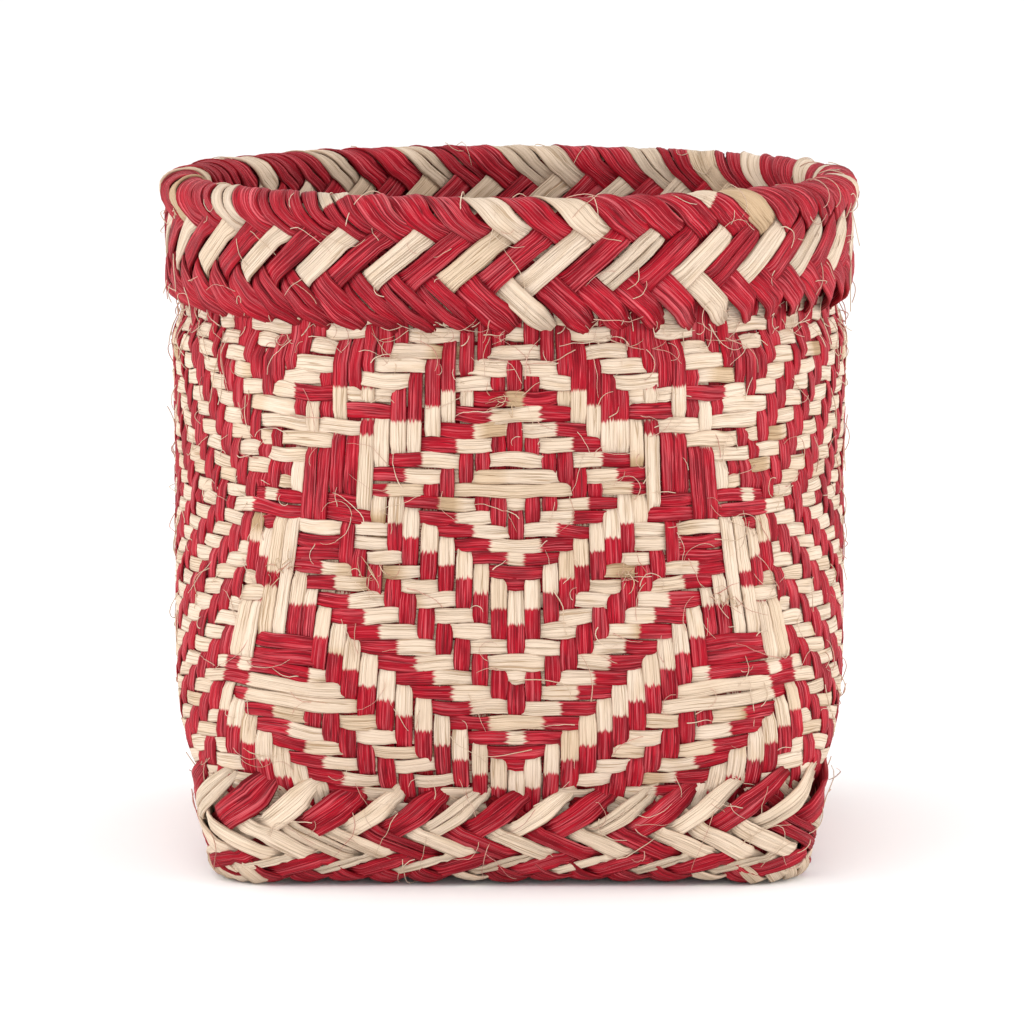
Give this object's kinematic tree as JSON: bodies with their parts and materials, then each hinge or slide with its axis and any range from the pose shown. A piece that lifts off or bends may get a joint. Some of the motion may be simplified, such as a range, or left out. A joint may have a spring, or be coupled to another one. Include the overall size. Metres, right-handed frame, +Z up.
{
  "type": "woven basket",
  "caption": "Small plaited basket with a round braided mouth open at the top, a nested-diamond twill wall that rounds out from a square foot, and wrapped corners to stand on.",
  "frame": {"origin": "centre of the bounding box at the level of the surface that the basket stands on", "axes": "+Z up through the mouth, -Y towards the viewer of the picture, +X to the right in the picture"},
  "size_m": [0.1402, 0.1402, 0.137],
  "materials": {
    "stakes": "dyed plant strip, matt",
    "weavers": "undyed and dyed plant strip, matt",
    "stake_ends": "dyed plant strip, matt",
    "braid_red": "dyed plant strip, matt",
    "braid_natural": "undyed plant strip, matt",
    "corner_wraps": "undyed plant strip, matt"
  },
  "bodies": {
    "root": {"stakes_front_back": "stakes", "stakes_left_right": "stakes", "weavers": "weavers", "turned_stake_ends": "stake_ends", "rim_strand_1": "braid_red", "rim_strand_2": "braid_red", "rim_strand_3": "braid_red", "rim_strand_4": "braid_natural", "rim_strand_5": "braid_red", "rim_strand_6": "braid_red", "rim_strand_7": "braid_red", "rim_strand_8": "braid_natural", "foot_strand_1": "braid_red", "foot_strand_2": "braid_natural", "foot_strand_3": "braid_red", "foot_strand_4": "braid_natural", "foot_strand_5": "braid_red", "foot_strand_6": "braid_natural", "foot_strand_7": "braid_red", "foot_strand_8": "braid_natural", "corner_wrap_front_right": "corner_wraps", "corner_wrap_back_right": "corner_wraps", "corner_wrap_back_left": "corner_wraps", "corner_wrap_front_left": "corner_wraps"}
  },
  "joints": []
}
